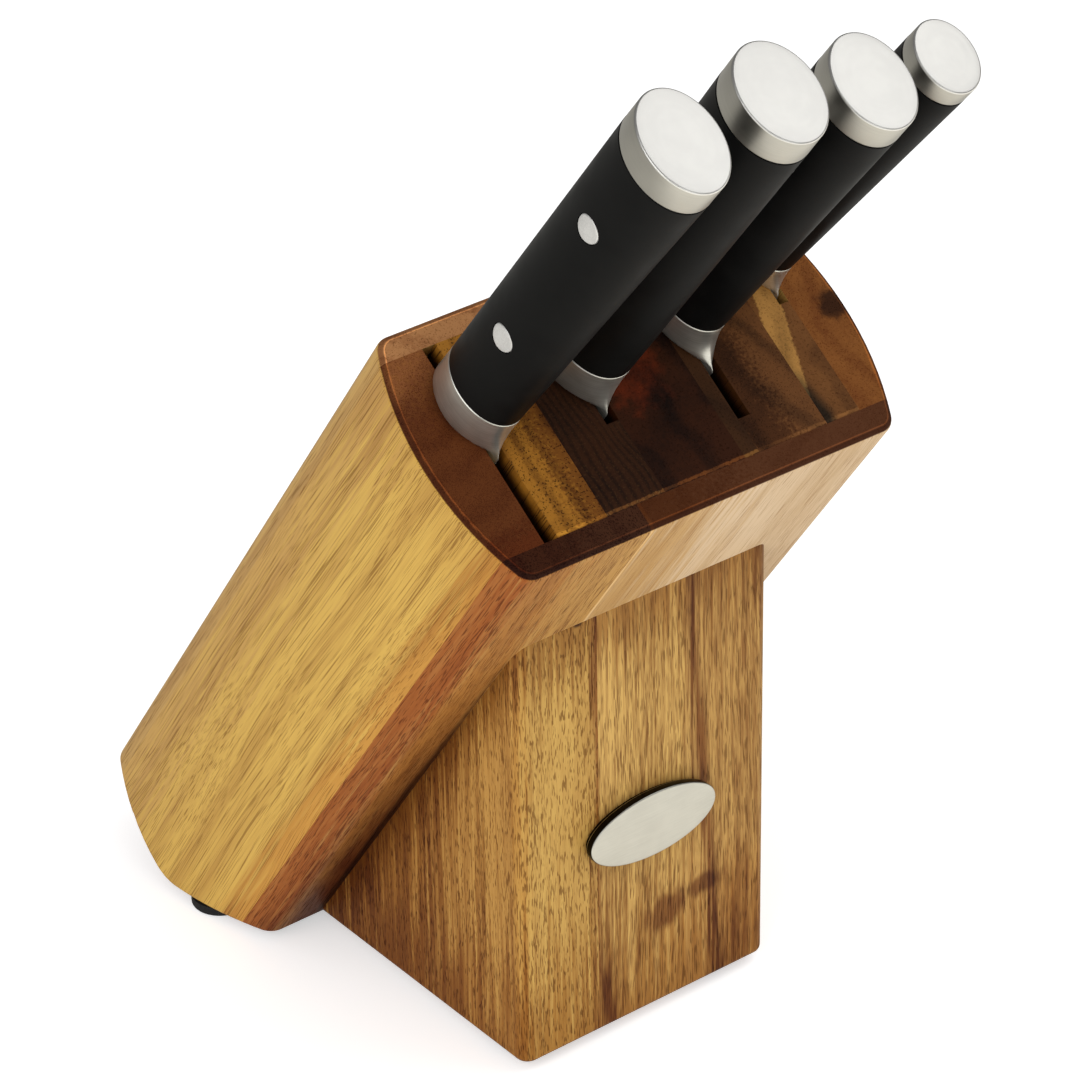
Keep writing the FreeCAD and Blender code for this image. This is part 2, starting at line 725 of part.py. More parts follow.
def check_and_write():
    doc.recompute()
    for item in doc.Objects:
        if "Invalid" in item.State or "Error" in item.State:
            raise RuntimeError(f"{item.Label} failed: {item.State}")
    os.makedirs("parts", exist_ok=True)
    whole = FreeCAD.BoundBox()
    for name, item in subparts.items():
        shape = item.Shape
        if shape.isNull() or not shape.isValid() or not shape.Solids:
            raise RuntimeError(f"{name} has no valid solid")
        whole.add(shape.BoundBox)
        shape.exportStep(f"parts/{name}.step")
        print(f"{name}: {len(shape.Solids)} solid(s), {shape.Volume / 1000:.2f} cm3")
    print("box", whole)


assemble()
check_and_write()
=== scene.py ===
import json
from math import atan2, cos, pi, radians, sin, sqrt

import bmesh
import bpy
from mathutils import Matrix, Quaternion, Vector


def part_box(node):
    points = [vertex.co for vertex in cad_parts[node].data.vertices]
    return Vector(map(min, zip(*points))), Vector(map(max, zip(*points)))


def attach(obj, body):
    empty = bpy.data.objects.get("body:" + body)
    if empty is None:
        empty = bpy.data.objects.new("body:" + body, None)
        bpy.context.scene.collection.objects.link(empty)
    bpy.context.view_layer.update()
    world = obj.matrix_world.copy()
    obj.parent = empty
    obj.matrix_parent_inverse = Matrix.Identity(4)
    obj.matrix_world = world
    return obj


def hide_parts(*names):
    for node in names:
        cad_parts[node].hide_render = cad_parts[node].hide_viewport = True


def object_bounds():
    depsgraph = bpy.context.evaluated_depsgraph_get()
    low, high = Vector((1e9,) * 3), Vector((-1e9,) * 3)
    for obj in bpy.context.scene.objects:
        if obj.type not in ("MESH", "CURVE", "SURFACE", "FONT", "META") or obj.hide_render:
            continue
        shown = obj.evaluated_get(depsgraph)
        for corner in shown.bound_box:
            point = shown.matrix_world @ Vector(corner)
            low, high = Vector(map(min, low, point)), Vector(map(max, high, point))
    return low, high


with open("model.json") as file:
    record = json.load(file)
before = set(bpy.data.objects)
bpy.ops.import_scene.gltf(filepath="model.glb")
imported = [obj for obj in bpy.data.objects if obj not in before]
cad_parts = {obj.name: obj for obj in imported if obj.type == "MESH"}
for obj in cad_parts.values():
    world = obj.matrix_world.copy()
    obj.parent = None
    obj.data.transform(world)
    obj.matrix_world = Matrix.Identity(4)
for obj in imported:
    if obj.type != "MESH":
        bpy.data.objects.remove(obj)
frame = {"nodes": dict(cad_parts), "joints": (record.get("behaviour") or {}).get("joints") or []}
cad_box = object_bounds()

# ---------------------------------------------------------------------------------------------
# Slats and boards of the block
# Oiled acacia, glued edge to edge, bulged and sanded flush.  The grain runs down the leaning
# block, so its sides show long streaks and its top end shows dark end grain.
# ---------------------------------------------------------------------------------------------
MM = 0.001
LEAN = radians(35.0)
FRONT_BOARD = 7.8 * MM
board_low, board_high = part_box("front_board_right")
block_corner = Vector((0.0, board_low.y, board_high.z - FRONT_BOARD * sin(LEAN)))
block_axis = Vector((0.0, -sin(LEAN), cos(LEAN)))


def add_node(tree, kind, inputs=None, **settings):
    """Add a shader node, set its options, and fill its inputs with values or links."""
    made = tree.nodes.new("ShaderNode" + kind)
    for option, value in settings.items():
        setattr(made, option, value)
    for key, value in (inputs or {}).items():
        if isinstance(value, bpy.types.NodeSocket):
            tree.links.new(value, made.inputs[key])
        else:
            made.inputs[key].default_value = value
    return made


def maths(tree, operation, first, second=0.0, clamp=False):
    made = add_node(tree, "Math", {0: first, 1: second}, operation=operation, use_clamp=clamp)
    return made.outputs["Value"]


def vector(tree, operation, first, second, output="Vector"):
    return add_node(tree, "VectorMath", {0: first, 1: second}, operation=operation).outputs[output]


def ramp(tree, value, low, high, start=0.0, end=1.0):
    """A smooth step from start to end as a value goes from low to high."""
    return add_node(tree, "MapRange", {
        "Value": value, "From Min": low, "From Max": high, "To Min": start, "To Max": end,
    }, interpolation_type="SMOOTHSTEP").outputs["Result"]


def mix(tree, fraction, first, second, blend="MIX"):
    """Mix two colours; the numbers are the Mix node's own colour sockets."""
    made = add_node(tree, "Mix", {0: fraction}, data_type="RGBA", blend_type=blend)
    for socket, colour in ((made.inputs[6], first), (made.inputs[7], second)):
        if isinstance(colour, bpy.types.NodeSocket):
            tree.links.new(colour, socket)
        else:
            socket.default_value = colour
    return made.outputs[2]


def tinted(tree, fraction, colour, tint):
    """A colour multiplied by a tint, as far as the fraction goes."""
    return mix(tree, fraction, colour, mix(tree, 1.0, colour, (*tint, 1.0), "MULTIPLY"))


def stretched(tree, place, across, along):
    """Places divided by a size across the grain and a size along it."""
    size = add_node(tree, "CombineXYZ", {"X": across, "Y": across, "Z": along}).outputs["Vector"]
    return vector(tree, "DIVIDE", place, size)


def noise(tree, place, detail=2.0, roughness=0.5, output="Fac"):
    settings = {"Vector": place, "Scale": 1.0, "Detail": detail, "Roughness": roughness}
    return add_node(tree, "TexNoise", settings).outputs[output]


def new_group(name, inputs, outputs):
    """A shader node group with named inputs, as (name, type, value), and named outputs."""
    group = bpy.data.node_groups.new(name, "ShaderNodeTree")
    for title, kind, value in inputs:
        socket = group.interface.new_socket(title, in_out="INPUT", socket_type="NodeSocket" + kind)
        socket.default_value = value
    for title, kind in outputs:
        group.interface.new_socket(title, in_out="OUTPUT", socket_type="NodeSocket" + kind)
    given = group.nodes.new("NodeGroupInput").outputs
    made = group.nodes.new("NodeGroupOutput").inputs
    return group, given, made


def place_group(tree, group, place, **values):
    """Put a group into a material with its own values, and give its outputs."""
    used = tree.nodes.new("ShaderNodeGroup")
    used.node_tree = group
    tree.links.new(place, used.inputs["Place"])
    for key, value in values.items():
        used.inputs[key.replace("_", " ").title()].default_value = value
    return used.outputs


def timber_group():
    """Acacia in the round: wavering growth rings about a pith, fine fibre, and open pores that
    are dashes along the grain and dots across it."""
    group, given, made = new_group("timber", [
        ("Place", "Vector", (0.0, 0.0, 0.0)),
        ("End", "Float", 0.0),
        ("Pith", "Vector", (0.03, 0.05, 0.0)),
        ("Ring Width", "Float", 0.006),
        ("Ring Depth", "Float", 0.6),
        ("Mottle Depth", "Float", 0.6),
        ("Fibre Depth", "Float", 0.5),
        ("Fibre Length", "Float", 0.03),
        ("Pore Width", "Float", 0.0005),
        ("Pore Length", "Float", 0.006),
        ("Pore Amount", "Float", 0.5),
        ("Pore Threshold", "Float", 0.60),
        ("Light", "Color", (0.5, 0.3, 0.08, 1.0)),
        ("Dark", "Color", (0.25, 0.1, 0.03, 1.0)),
        ("Pore", "Color", (0.08, 0.03, 0.01, 1.0)),
        ("End Tint", "Color", (0.25, 0.14, 0.1, 1.0)),
    ], [("Color", "Color"), ("Roughness", "Float"), ("Height", "Float")])
    waver = noise(group, stretched(group, given["Place"], 0.05, 0.30), output="Color")
    shift = vector(group, "MULTIPLY", vector(group, "SUBTRACT", waver, (0.5, 0.5, 0.5)), (0.016, 0.016, 0.0))
    bent = vector(group, "ADD", given["Place"], shift)
    from_pith = vector(group, "MULTIPLY", vector(group, "SUBTRACT", bent, given["Pith"]), (1.0, 1.0, 0.0))
    radius = vector(group, "LENGTH", from_pith, (0.0, 0.0, 0.0), "Value")
    uneven = maths(group, "MULTIPLY", noise(group, stretched(group, bent, 0.02, 0.5), 1.0), 1.5)
    turns = maths(group, "ADD", maths(group, "DIVIDE", radius, given["Ring Width"]), uneven)
    wave = maths(group, "SINE", maths(group, "MULTIPLY", turns, 2 * pi))
    ring = maths(group, "POWER", ramp(group, wave, -1.0, 1.0), 2.0)
    mottle = noise(group, stretched(group, bent, 0.018, 0.16), 3.0)
    streak = noise(group, stretched(group, bent, 0.0014, 0.11), 3.0, 0.65)
    fibre = noise(group, stretched(group, bent, 0.0008, given["Fibre Length"]), 2.0, 0.7)
    pore_noise = noise(group, stretched(group, bent, given["Pore Width"], given["Pore Length"]), 1.0, 0.4)
    pore_noise = maths(group, "ADD", pore_noise, maths(group, "MULTIPLY", ring, 0.03))
    pore_edge = maths(group, "SUBTRACT", pore_noise, given["Pore Threshold"])
    pores = ramp(group, pore_edge, 0.0, 0.09)
    depth = maths(group, "MULTIPLY", ring, given["Ring Depth"])
    for pattern, middle, amount in ((mottle, 0.42, "Mottle Depth"), (streak, 0.5, "Fibre Depth"),
                                    (fibre, 0.5, "Fibre Depth")):
        swing = maths(group, "MULTIPLY", maths(group, "SUBTRACT", pattern, middle), given[amount])
        depth = maths(group, "ADD", depth, maths(group, "MULTIPLY", swing, 2.3))
    depth = maths(group, "ADD", depth, 0.0, clamp=True)
    colour = mix(group, depth, given["Light"], given["Dark"])
    colour = mix(group, maths(group, "MULTIPLY", pores, given["Pore Amount"]), colour, given["Pore"])
    ended = mix(group, 1.0, colour, given["End Tint"], "MULTIPLY")
    group.links.new(mix(group, given["End"], colour, ended), made["Color"])
    rough = maths(group, "ADD", 0.42, maths(group, "MULTIPLY", pores, 0.25))
    rough = maths(group, "ADD", rough, maths(group, "MULTIPLY", given["End"], 0.28))
    group.links.new(rough, made["Roughness"])
    height = maths(group, "ADD", maths(group, "MULTIPLY", pores, -0.8), maths(group, "MULTIPLY", fibre, 0.35))
    group.links.new(height, made["Height"])
    return group


def stripe_group():
    """A soft-edged stripe, whose edges wander a little and break up along the fibres."""
    group, given, made = new_group("stripe", [
        ("Place", "Vector", (0.0, 0.0, 0.0)),
        ("Across", "Vector", (1.0, 0.0, 0.0)),
        ("Centre", "Float", 0.0),
        ("Half Width", "Float", 0.005),
        ("Softness", "Float", 0.003),
        ("Wander", "Float", 0.004),
    ], [("Mask", "Float")])
    along = vector(group, "DOT_PRODUCT", given["Place"], given["Across"], "Value")
    drift = maths(group, "SUBTRACT", noise(group, stretched(group, given["Place"], 0.03, 0.09), 2.0), 0.5)
    wandered = maths(group, "ADD", along, maths(group, "MULTIPLY", drift, given["Wander"]))
    off = maths(group, "ABSOLUTE", maths(group, "SUBTRACT", wandered, given["Centre"]))
    edge = maths(group, "DIVIDE", maths(group, "SUBTRACT", off, given["Half Width"]), given["Softness"])
    grain = maths(group, "SUBTRACT", noise(group, stretched(group, given["Place"], 0.0011, 0.04), 2.0), 0.5)
    grained = maths(group, "ADD", edge, maths(group, "MULTIPLY", grain, 2.4))
    group.links.new(ramp(group, grained, 0.0, 1.0, 1.0, 0.0), made["Mask"])
    return group


def spot_group():
    """A smudged spot, such as a knot or a patch of darker end grain."""
    group, given, made = new_group("spot", [
        ("Place", "Vector", (0.0, 0.0, 0.0)),
        ("Centre", "Vector", (0.0, 0.0, 0.0)),
        ("Size", "Vector", (0.005, 0.005, 0.005)),
        ("Wander", "Float", 0.6),
    ], [("Mask", "Float")])
    off = vector(group, "DIVIDE", vector(group, "SUBTRACT", given["Place"], given["Centre"]), given["Size"])
    far = vector(group, "LENGTH", off, (0.0, 0.0, 0.0), "Value")
    ragged = maths(group, "SUBTRACT", noise(group, stretched(group, given["Place"], 0.004, 0.012), 3.0), 0.5)
    reach = maths(group, "ADD", far, maths(group, "MULTIPLY", ragged, given["Wander"]))
    group.links.new(ramp(group, reach, 0.35, 1.0, 1.0, 0.0), made["Mask"])
    return group


TIMBER = timber_group()
STRIPE = stripe_group()
SPOT = spot_group()


def new_material(name, **principled):
    """A material with its Principled BSDF set up, returned with its tree and that shader."""
    material = bpy.data.materials.new(name)
    material.use_nodes = True
    shader = material.node_tree.nodes["Principled BSDF"]
    for key, value in principled.items():
        shader.inputs[key.replace("_", " ")].default_value = value
    return material, material.node_tree, shader


def own_place(tree, home=(0.0, 0.0, 0.0), turn=0.0):
    """Places measured from a piece's own corner or foot, in its own directions."""
    settings = {
        "Vector": add_node(tree, "TexCoord").outputs["Object"],
        "Location": home,
        "Rotation": (turn, 0.0, 0.0),
    }
    return add_node(tree, "Mapping", settings, vector_type="TEXTURE").outputs["Vector"]


def facing_way(tree, way):
    """How far a face looks along a direction: 1 when it looks straight that way."""
    return vector(tree, "DOT_PRODUCT", add_node(tree, "NewGeometry").outputs["Normal"], way, "Value")


def bump(tree, shader, height, distance, strength=0.3):
    made = add_node(tree, "Bump", {"Height": height, "Strength": strength, "Distance": distance})
    tree.links.new(made.outputs["Normal"], shader.inputs["Normal"])


OILED_TINT = (0.42, 0.34, 0.30)
RIM_HIGHLIGHT_TINT = (2.4, 2.2, 2.0)
SLOT_SHADE_TINT = (0.08, 0.06, 0.05)
SLOT_SHADE_TOP = -0.6 * MM
SLOT_SHADE_LOW = -5.0 * MM


def oiled_rim_with_highlight(tree, facing, colour):
    """The sanded rim of the top end soaks up oil and darkens, with a painted highlight line just inside it.
    """
    dark = maths(tree, "MULTIPLY", ramp(tree, facing, 0.42, 0.50), ramp(tree, facing, 0.975, 0.92))
    # The pale line just inside the rim is a painted highlight.
    rim_highlight = maths(tree, "MULTIPLY", ramp(tree, facing, 0.965, 0.985), ramp(tree, facing, 0.9999, 0.996))
    colour = tinted(tree, maths(tree, "MULTIPLY", dark, 0.75), colour, OILED_TINT)
    return tinted(tree, maths(tree, "MULTIPLY", rim_highlight, 0.7), colour, RIM_HIGHLIGHT_TINT)


def timber_material(name, light, dark, pore, end_tint=(1.0, 1.0, 1.0), upright=False, seed=0.0,
                    pith=(0.03, 0.06), stripes=(), spots=(), slotted=False, **grain):
    """Oiled acacia for one board.  Its grain runs down the block, or straight up in the post.
    Each stripe is (direction across it, centre, half width, softness, wander, tint) and each
    spot is (centre, size, raggedness, tint), in millimetres in the board's own directions."""
    material, tree, shader = new_material(name, Specular_IOR_Level=0.09)
    place = own_place(tree) if upright else own_place(tree, tuple(block_corner), LEAN)
    offset = (seed * 0.31, seed * 0.17, seed * 0.53)
    facing = facing_way(tree, (0.0, 0.0, 1.0) if upright else tuple(block_axis))
    outputs = place_group(
        tree, TIMBER, vector(tree, "ADD", place, offset), light=(*light, 1.0), dark=(*dark, 1.0),
        pore=(*pore, 1.0), end_tint=(*end_tint, 1.0),
        pith=(pith[0] + offset[0], pith[1] + offset[1], 0.0), **grain)
    timber = outputs["Color"].node
    tree.links.new(ramp(tree, maths(tree, "ABSOLUTE", facing), 0.42, 0.60), timber.inputs["End"])
    colour = outputs["Color"]
    if not upright:
        colour = oiled_rim_with_highlight(tree, facing, colour)
    # Painted shade: the slot walls darken with depth below the top end, standing in for the shade inside the
    # slots.
    if slotted:
        height = add_node(tree, "SeparateXYZ", {"Vector": place}).outputs["Z"]
        colour = tinted(tree, ramp(tree, height, SLOT_SHADE_TOP, SLOT_SHADE_LOW), colour, SLOT_SHADE_TINT)
    for across, centre, half_width, softness, wander, tint in stripes:
        mask = place_group(
            tree, STRIPE, place, across=across, centre=centre * MM, half_width=half_width * MM,
            softness=softness * MM, wander=wander * MM)["Mask"]
        colour = tinted(tree, mask, colour, tint)
    for centre, size, raggedness, tint in spots:
        mask = place_group(tree, SPOT, place, centre=tuple(c * MM for c in centre),
                           size=tuple(c * MM for c in size), wander=raggedness)["Mask"]
        colour = tinted(tree, mask, colour, tint)
    tree.links.new(colour, shader.inputs["Base Color"])
    tree.links.new(outputs["Roughness"], shader.inputs["Roughness"])
    bump(tree, shader, outputs["Height"], 0.15 * MM, 0.25)
    return material


def finish_piece(name, bm, material, body, replaced):
    """Turn a finished bmesh into an object at the origin that stands for a CAD node."""
    mesh = bpy.data.meshes.new(name)
    bm.to_mesh(mesh)
    bm.free()
    mesh.materials.append(material)
    piece = bpy.data.objects.new(name, mesh)
    bpy.context.scene.collection.objects.link(piece)
    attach(piece, body)
    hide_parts(replaced)
    return piece


def smooth_faces(bm, sharp_angle=radians(32)):
    """Shade every face as a curve, with creases where two faces meet at a sharp angle."""
    for face in bm.faces:
        face.smooth = True
    for edge in bm.edges:
        edge.smooth = edge.calc_face_angle(0.0) < sharp_angle


def even_normals(piece):
    """Keep large flat faces flat in the shading, up to the creases."""
    even = piece.modifiers.new("even_normals", "WEIGHTED_NORMAL")
    even.keep_sharp = True


WELD_DISTANCE = 0.005 * MM
FLAT_ANGLE = radians(0.5)


def smooth_copy(node, material, body="block"):
    """A copy of a CAD node with its triangles joined up, so that its curves shade as curves."""
    bm = bmesh.new()
    bm.from_mesh(frame["nodes"][node].data)
    bmesh.ops.remove_doubles(bm, verts=bm.verts, dist=WELD_DISTANCE)
    bmesh.ops.dissolve_limit(bm, angle_limit=FLAT_ANGLE, verts=bm.verts, edges=bm.edges)
    smooth_faces(bm)
    even_normals(finish_piece(node + "_piece", bm, material, body, node))


ACROSS = (1.0, 0.0, 0.0)
SECTION = (0.0, 1.0, 0.0)
ALONG = (0.0, 0.0, 1.0)
PORE_BROWN = (0.12, 0.05, 0.014)
# The slats carry painted shade inside their slots.
SLAT_GRAIN = dict(ring_depth=0.5, mottle_depth=0.6, fibre_depth=0.3, pore_length=0.02, slotted=True)
SEAM_LINE = (SECTION, FRONT_BOARD / MM, 0.25, 0.35, 0.0, (4.2, 4.6, 3.4))
PALE_SEAM_LINE = (SECTION, FRONT_BOARD / MM, 0.25, 0.35, 0.0, (1.7, 1.8, 1.8))

BOARDS = {
    "left_cheek": dict(
        light=(0.60, 0.37, 0.078), dark=(0.35, 0.170, 0.034), pore=(0.16, 0.065, 0.012),
        end_tint=(0.22, 0.105, 0.12), seed=1.0, pith=(-0.02, -0.12), ring_width=0.011,
        ring_depth=0.30, mottle_depth=0.30, fibre_depth=0.34,
        pore_width=0.00026, pore_length=0.030, pore_amount=0.60, pore_threshold=0.565, fibre_length=0.06,
        stripes=[(SECTION, 74.0, 2.0, 34.0, 8.0, (0.88, 0.82, 1.0)),
                 (SECTION, 7.0, 2.0, 7.0, 2.0, (0.86, 0.68, 0.58)),
                 (ALONG, 0.0, 6.0, 34.0, 8.0, (0.92, 0.88, 0.86))],
        # The spot lightens the back of the top end as a painted reflection.
        spots=[((-62.0, 70.0, 0.4), (26.0, 22.0, 1.2), 0.2, (2.2, 2.9, 3.0))]),
    "front_board_left": dict(
        light=(0.46, 0.250, 0.070), dark=(0.27, 0.110, 0.026), pore=(0.10, 0.03, 0.010),
        end_tint=(0.12, 0.075, 0.105), seed=2.0, pith=(-0.2, 0.0), ring_width=0.008,
        ring_depth=0.30, mottle_depth=0.4, fibre_depth=0.55,
        pore_width=0.0003, pore_length=0.007, pore_amount=0.65, pore_threshold=0.56,
        stripes=[(ACROSS, -68.5, 7.5, 4.0, 0.6, (0.78, 0.53, 0.42)),
                 (ACROSS, -54.0, 3.0, 18.0, 2.0, (0.80, 0.62, 0.48))],
        # Painted shade: the first spot darkens the underside towards its lower end, the second paints the
        # contact shadow where the post meets the underside.
        spots=[((-42.0, -3.0, -250.0), (26.0, 16.0, 215.0), 0.4, (0.24, 0.12, 0.08)),
               ((-43.5, 0.0, -150.0), (3.6, 4.0, 104.0), 0.3, (0.24, 0.16, 0.12))]),
    "front_board_right": dict(
        light=(0.63, 0.46, 0.28), dark=(0.47, 0.30, 0.14), pore=(0.26, 0.13, 0.06),
        end_tint=(0.15, 0.070, 0.040), seed=3.0, pith=(0.1, -0.1), ring_width=0.012,
        ring_depth=0.4, mottle_depth=0.5, fibre_depth=0.5,
        pore_width=0.0003, pore_length=0.014, pore_amount=0.45,
        stripes=[(ACROSS, -20.5, 0.3, 0.5, 0.0, (1.3, 1.3, 1.2)),
                 (ACROSS, -16.0, 3.0, 32.0, 4.0, (0.80, 0.66, 0.42)),
                 SEAM_LINE]),
    "back_board": dict(
        light=(0.52, 0.31, 0.09), dark=(0.30, 0.14, 0.036), pore=PORE_BROWN,
        end_tint=(0.80, 0.62, 0.80), seed=4.0,
        pith=(0.0, 0.16), ring_width=0.009, ring_depth=0.4, mottle_depth=0.6, fibre_depth=0.5,
        pore_width=0.0004, pore_length=0.014, pore_amount=0.5),
    "golden_slat": dict(SLAT_GRAIN,
        light=(0.36, 0.150, 0.018), dark=(0.13, 0.046, 0.006), pore=(0.040, 0.015, 0.004), seed=5.0,
        pith=(-0.35, 0.03), ring_width=0.0055, pore_width=0.00045, pore_amount=0.8, pore_threshold=0.60,
        stripes=[(ACROSS, -31.0, 1.0, 9.0, 1.0, (0.50, 0.42, 0.50)), PALE_SEAM_LINE]),
    "dark_slat": dict(SLAT_GRAIN,
        light=(0.036, 0.012, 0.004), dark=(0.011, 0.004, 0.002), pore=(0.060, 0.030, 0.012), seed=6.0,
        pith=(0.40, 0.04), ring_width=0.0022, pore_width=0.0005, pore_amount=0.5, stripes=[SEAM_LINE]),
    "red_slat": dict(SLAT_GRAIN,
        light=(0.036, 0.010, 0.003), dark=(0.007, 0.003, 0.002), pore=(0.006, 0.002, 0.001), seed=7.0,
        pith=(0.30, 0.12), ring_width=0.016, pore_width=0.0005, pore_amount=0.35, stripes=[SEAM_LINE],
        spots=[((-2.0, 46.0, 0.0), (13.0, 20.0, 300.0), 1.0, (3.6, 1.9, 1.2))]),
    "closing_strip": dict(SLAT_GRAIN,
        light=(0.050, 0.019, 0.006), dark=(0.020, 0.008, 0.003), pore=(0.012, 0.005, 0.002), seed=8.0,
        pith=(0.35, 0.2), ring_width=0.010, pore_width=0.0005, pore_amount=0.4, stripes=[SEAM_LINE]),
    "brown_slat": dict(SLAT_GRAIN,
        light=(0.145, 0.055, 0.016), dark=(0.050, 0.019, 0.006), pore=(0.022, 0.009, 0.004), seed=8.5,
        pith=(0.35, 0.2), ring_width=0.012, pore_width=0.0005, pore_amount=0.5,
        stripes=[(ACROSS, 24.0, 4.0, 8.0, 4.0, (0.45, 0.40, 0.38)), PALE_SEAM_LINE]),
    "sapwood_slat": dict(SLAT_GRAIN,
        light=(0.170, 0.066, 0.018), dark=(0.085, 0.032, 0.009), pore=(0.03, 0.012, 0.005), seed=9.0,
        pith=(-0.3, 0.15), ring_width=0.012, pore_width=0.0005, pore_amount=0.4,
        stripes=[((0.95, -0.31, 0.0), 31.5, 3.2, 0.8, 1.0, (2.6, 3.3, 3.0)), PALE_SEAM_LINE],
        spots=[((41.5, 6.0, 0.0), (5.5, 22.0, 300.0), 0.3, (0.18, 0.26, 0.44))]),
    "right_cheek": dict(
        light=(0.54, 0.32, 0.085), dark=(0.32, 0.150, 0.036), pore=PORE_BROWN,
        end_tint=(0.42, 0.25, 0.20), seed=10.0,
        pith=(0.22, 0.02), ring_width=0.009, ring_depth=0.35, mottle_depth=0.7, fibre_depth=0.4,
        pore_width=0.0004, pore_length=0.016, pore_amount=0.5,
        spots=[((64.5, 37.0, -1.0), (7.0, 6.0, 14.0), 1.2, (0.20, 0.19, 0.25))]),
    "slot_spacer": dict(SLAT_GRAIN,
        light=(0.20, 0.10, 0.04), dark=(0.08, 0.04, 0.02), pore=(0.03, 0.015, 0.008), seed=11.0),
}
for node, look in BOARDS.items():
    smooth_copy(node, timber_material(node + "_wood", **look))

# ---------------------------------------------------------------------------------------------
# Post
# Three upright acacia staves glued into one solid wedge under the block, with their grain
# standing up, the front corners and foot rounded over, and dark heartwood veins.
# ---------------------------------------------------------------------------------------------
UNDER_BLOCK = (0.0, cos(LEAN), sin(LEAN))
UNDERSIDE = block_corner.dot(Vector(UNDER_BLOCK)) / MM
TO_BACK = (0.0, 1.0, 0.0)
# Painted shade on the staves: darker just under the block where the post meets it, on the left face, towards
# the floor and towards the back under the block.
POST_PAINTED_SHADE = [
    (UNDER_BLOCK, UNDERSIDE, 1.0, 15.0, 3.0, (0.58, 0.46, 0.36)),
    (ACROSS, -43.0, 1.2, 3.0, 0.5, (0.84, 0.72, 0.62)),
    (ALONG, 0.0, 6.0, 46.0, 16.0, (0.62, 0.48, 0.34)),
    (TO_BACK, 20.0, 8.0, 50.0, 12.0, (0.60, 0.46, 0.30)),
]
MIDDLE_VEIN = ((0.980, 0.0, 0.200), -11.4, 0.0, 3.4, 3.0, (0.46, 0.31, 0.25))
RIGHT_VEIN = ((0.997, 0.0, 0.077), 25.6, 0.0, 3.6, 4.0, (0.40, 0.26, 0.20))
POST_END_TINT = (0.45, 0.36, 0.30)

STAVES = {
    "post_stave_left": dict(
        light=(0.56, 0.340, 0.088), dark=(0.33, 0.155, 0.032), pore=(0.15, 0.060, 0.012), seed=12.0,
        pith=(-0.1, 0.1), ring_width=0.016, ring_depth=0.20, mottle_depth=0.6, fibre_depth=0.40,
        pore_width=0.00040, pore_length=0.0032, pore_amount=0.75, pore_threshold=0.565, fibre_length=0.008,
        stripes=[(ACROSS, -16.4, 0.3, 2.2, 1.0, (0.52, 0.36, 0.30)), *POST_PAINTED_SHADE],
        spots=[((-22.5, -41.0, 136.5), (2.2, 5.0, 1.6), 0.3, (0.16, 0.10, 0.08))]),
    "post_stave_middle": dict(
        light=(0.60, 0.365, 0.105), dark=(0.25, 0.110, 0.024), pore=(0.12, 0.048, 0.012), seed=13.0,
        pith=(0.01, 0.30), ring_width=0.009, ring_depth=0.35, mottle_depth=0.6, fibre_depth=0.85,
        pore_width=0.00034, pore_length=0.006, pore_amount=0.65, pore_threshold=0.57, fibre_length=0.012,
        stripes=[MIDDLE_VEIN, *POST_PAINTED_SHADE],
        spots=[((8.5, -41.0, 33.0), (12.0, 8.0, 7.5), 1.5, (0.46, 0.33, 0.26))]),
    "post_stave_right": dict(
        light=(0.50, 0.285, 0.080), dark=(0.24, 0.105, 0.025), pore=(0.11, 0.044, 0.011), seed=14.0,
        pith=(0.05, 0.30), ring_width=0.008, ring_depth=0.40, mottle_depth=0.7, fibre_depth=0.90,
        pore_width=0.00034, pore_length=0.006, pore_amount=0.65, pore_threshold=0.57, fibre_length=0.012,
        stripes=[RIGHT_VEIN, *POST_PAINTED_SHADE],
        spots=[((19.5, -41.0, 36.0), (8.0, 8.0, 4.5), 1.5, (0.42, 0.30, 0.24)),
               ((34.0, -41.0, 22.0), (16.0, 12.0, 28.0), 0.5, (0.84, 0.74, 0.62))]),
}
for node, look in STAVES.items():
    smooth_copy(node, timber_material(node + "_wood", upright=True, end_tint=POST_END_TINT, **look))

# ---------------------------------------------------------------------------------------------
# Dowels
# Two fluted beech dowels, glued across the joint between post and block and out of sight.
# ---------------------------------------------------------------------------------------------


def dress(node, material):
    """Give a CAD node that stays in view its own finish."""
    frame["nodes"][node].material_slots[0].material = material


dress("dowels", timber_material(
    "beech_wood", light=(0.62, 0.43, 0.26), dark=(0.45, 0.28, 0.15), pore=(0.22, 0.12, 0.06), seed=15.0,
    ring_width=0.002, ring_depth=0.3, fibre_depth=0.4, pore_width=0.0003, pore_length=0.002, pore_amount=0.4))

# ---------------------------------------------------------------------------------------------
# Feet and their screws
# Black rubber discs, moulded with a dished sole and a soft rim, each held by a pan-head screw.
# ---------------------------------------------------------------------------------------------


def rubber_material():
    """Matt black rubber with a fine grain and a little pale dust."""
    material, tree, shader = new_material("foot_rubber", Specular_IOR_Level=0.35)
    place = own_place(tree)
    grain = noise(tree, stretched(tree, place, 0.0006, 0.0006), 3.0)
    dust = noise(tree, stretched(tree, place, 0.006, 0.006), 3.0)
    dusty = mix(tree, ramp(tree, dust, 0.45, 0.75), (0.010, 0.010, 0.011, 1.0), (0.028, 0.027, 0.026, 1.0))
    tree.links.new(dusty, shader.inputs["Base Color"])
    tree.links.new(ramp(tree, grain, 0.3, 0.7, 0.62, 0.85), shader.inputs["Roughness"])
    bump(tree, shader, grain, 0.05 * MM)
    return material


